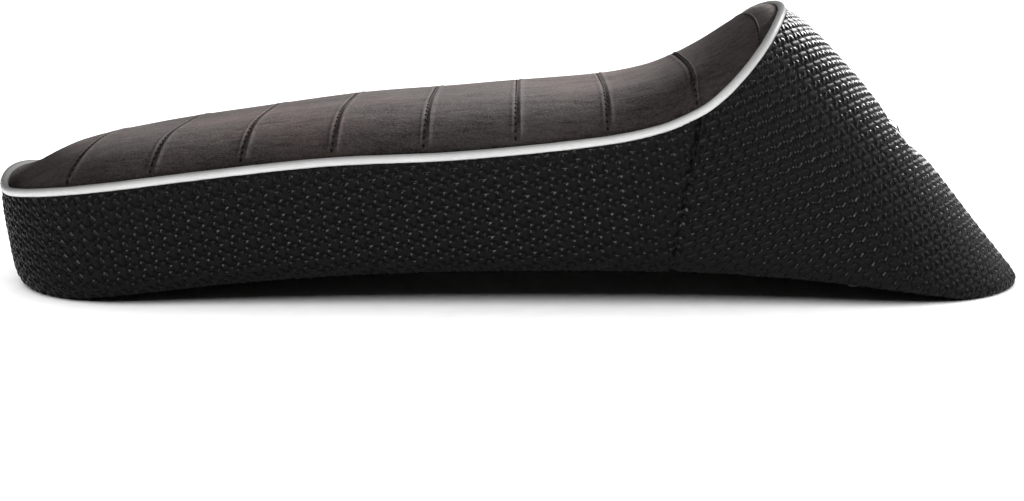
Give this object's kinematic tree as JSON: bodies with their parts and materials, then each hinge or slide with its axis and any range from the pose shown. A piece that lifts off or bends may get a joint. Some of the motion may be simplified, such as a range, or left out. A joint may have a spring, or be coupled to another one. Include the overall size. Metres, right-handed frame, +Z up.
{
  "type": "scooter seat",
  "caption": "Long slope-back scooter seat with a channelled suede top, light piping, woven vinyl sides and a moulded base pan with hinge and catch.",
  "frame": {"origin": "on the ground under the middle of the seat, bottom centre of its box", "axes": "+X from the nose to the tail, +Y across to the far side of the picture, +Z up"},
  "size_m": [0.7697, 0.246, 0.2064],
  "materials": {
    "pan": "black moulded polypropylene, lightly grained",
    "foam": "moulded polyurethane foam, hidden inside the covers",
    "suede": "brushed charcoal-brown suede with lengthwise mottling",
    "vinyl": "black vinyl embossed with a basket weave, soft sheen on the bumps",
    "piping": "smooth light grey vinyl welt",
    "rivet": "black nylon drive rivets",
    "bracket": "black electrocoated pressed steel",
    "fastener": "zinc-plated steel",
    "bright": "polished plain round badge",
    "buffer": "black moulded rubber"
  },
  "bodies": {
    "root": {"base_pan": "pan", "foam_core": "foam", "top_cover": "suede", "side_band": "vinyl", "tail_cover": "vinyl", "piping": "piping", "hem_rivets": "rivet", "hinge_bracket": "bracket", "hinge_bolts": "fastener", "hinge_nuts": "fastener", "catch_striker": "bracket", "catch_bolts": "fastener", "catch_nuts": "fastener", "buffer_screws": "fastener", "rear_badge": "bright", "badge_washer": "fastener", "badge_nut": "fastener", "buffer_front_left": "buffer", "buffer_front_right": "buffer", "buffer_rear_left": "buffer", "buffer_rear_right": "buffer"}
  },
  "joints": []
}
